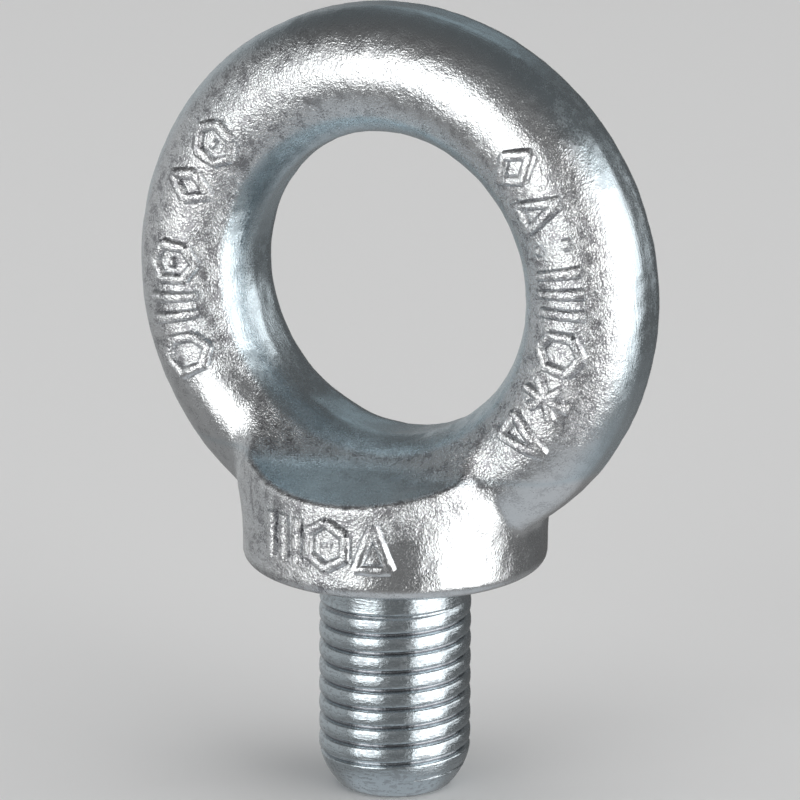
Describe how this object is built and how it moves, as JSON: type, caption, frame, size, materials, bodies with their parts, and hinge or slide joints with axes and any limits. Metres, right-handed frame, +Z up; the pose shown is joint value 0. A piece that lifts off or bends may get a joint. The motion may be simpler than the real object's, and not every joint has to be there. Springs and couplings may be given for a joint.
{
  "type": "lifting eye bolt",
  "caption": "Forged lifting eye bolt: a thick steel ring on a round collar with a flat seat, above a short coarse-threaded shank that screws into a tapped hole.",
  "frame": {"origin": "on the thread's axis, in the plane of the collar's underside, which is the seat", "axes": "+Z up the shank towards the ring, the ring stands in the XZ plane, and its hole runs along Y"},
  "size_m": [0.0722, 0.0396, 0.1038],
  "materials": {
    "forged_zinc": "drop-forged steel with bright zinc plating: speckled die faces, smoother trimmed edges",
    "rolled_zinc": "rolled thread with bright, faintly blue zinc plating, smoother than the forging"
  },
  "bodies": {
    "root": {"lifting_ring": "forged_zinc", "collar": "forged_zinc", "threaded_shank": "rolled_zinc"}
  },
  "joints": []
}
